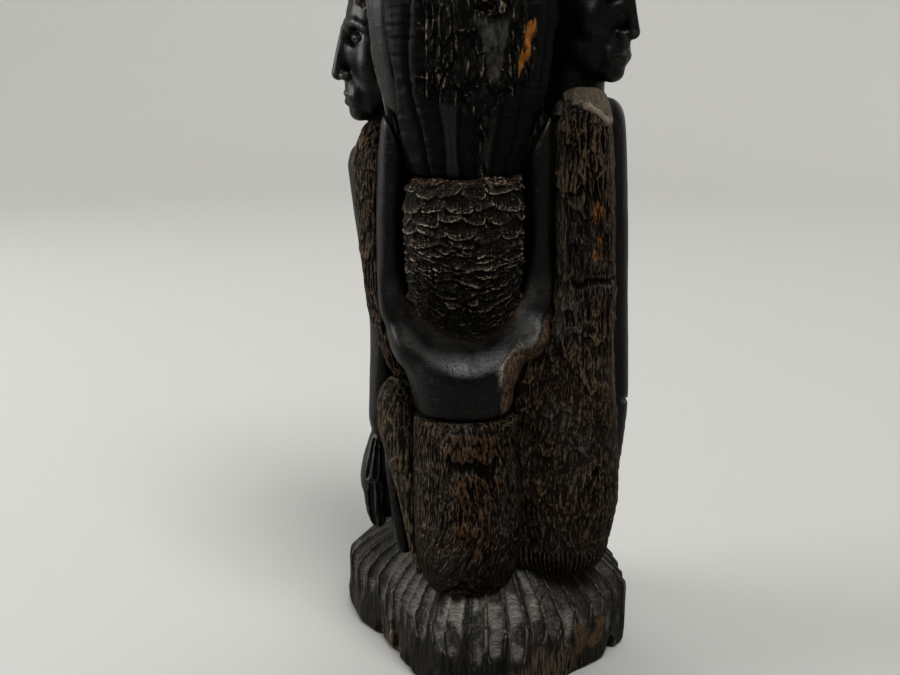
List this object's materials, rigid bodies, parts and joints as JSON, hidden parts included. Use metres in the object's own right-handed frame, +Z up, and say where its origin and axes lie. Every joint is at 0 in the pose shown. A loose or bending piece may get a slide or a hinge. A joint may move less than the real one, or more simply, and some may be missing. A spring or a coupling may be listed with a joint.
{
  "type": "carved ancestor figure",
  "caption": "Family-tree ancestor carving: robed elders and a kneeling bearer round a log, with a bearded head on top and a gouged mound below.",
  "frame": {"origin": "on the ground, at the middle of the carving's box", "axes": "+Z up the log, -Y towards the bearer's side, +X to the right of a viewer who faces that side"},
  "size_m": [0.076, 0.073, 0.24],
  "materials": {
    "polished_ebony": "semi-gloss",
    "chiselled_wood": "matt",
    "scalloped_hair": "satin",
    "fluted_beard": "satin",
    "gouged_mound": "satin"
  },
  "bodies": {
    "root": {"base": "gouged_mound", "trunk_core": "chiselled_wood", "bearer_hair": "scalloped_hair", "bearer_torso": "polished_ebony", "bearer_left_arm": "polished_ebony", "bearer_right_arm": "polished_ebony", "bearer_skirt": "chiselled_wood", "ancestor_beard": "fluted_beard", "ancestor_hair": "scalloped_hair", "ancestor_head": "polished_ebony", "ancestor_left_ear": "polished_ebony", "ancestor_right_ear": "polished_ebony", "right_elder_head": "polished_ebony", "right_elder_arm": "polished_ebony", "right_elder_robe": "chiselled_wood", "left_elder_head": "polished_ebony", "left_elder_hand": "polished_ebony", "left_elder_arm": "polished_ebony", "left_elder_shin": "polished_ebony", "left_elder_robe": "chiselled_wood", "left_elder_leg": "chiselled_wood", "rear_elder_head": "polished_ebony", "rear_elder_left_arm": "polished_ebony", "rear_elder_right_arm": "polished_ebony", "rear_elder_left_foot": "polished_ebony", "rear_elder_right_foot": "polished_ebony", "rear_elder_robe": "chiselled_wood"}
  },
  "joints": []
}
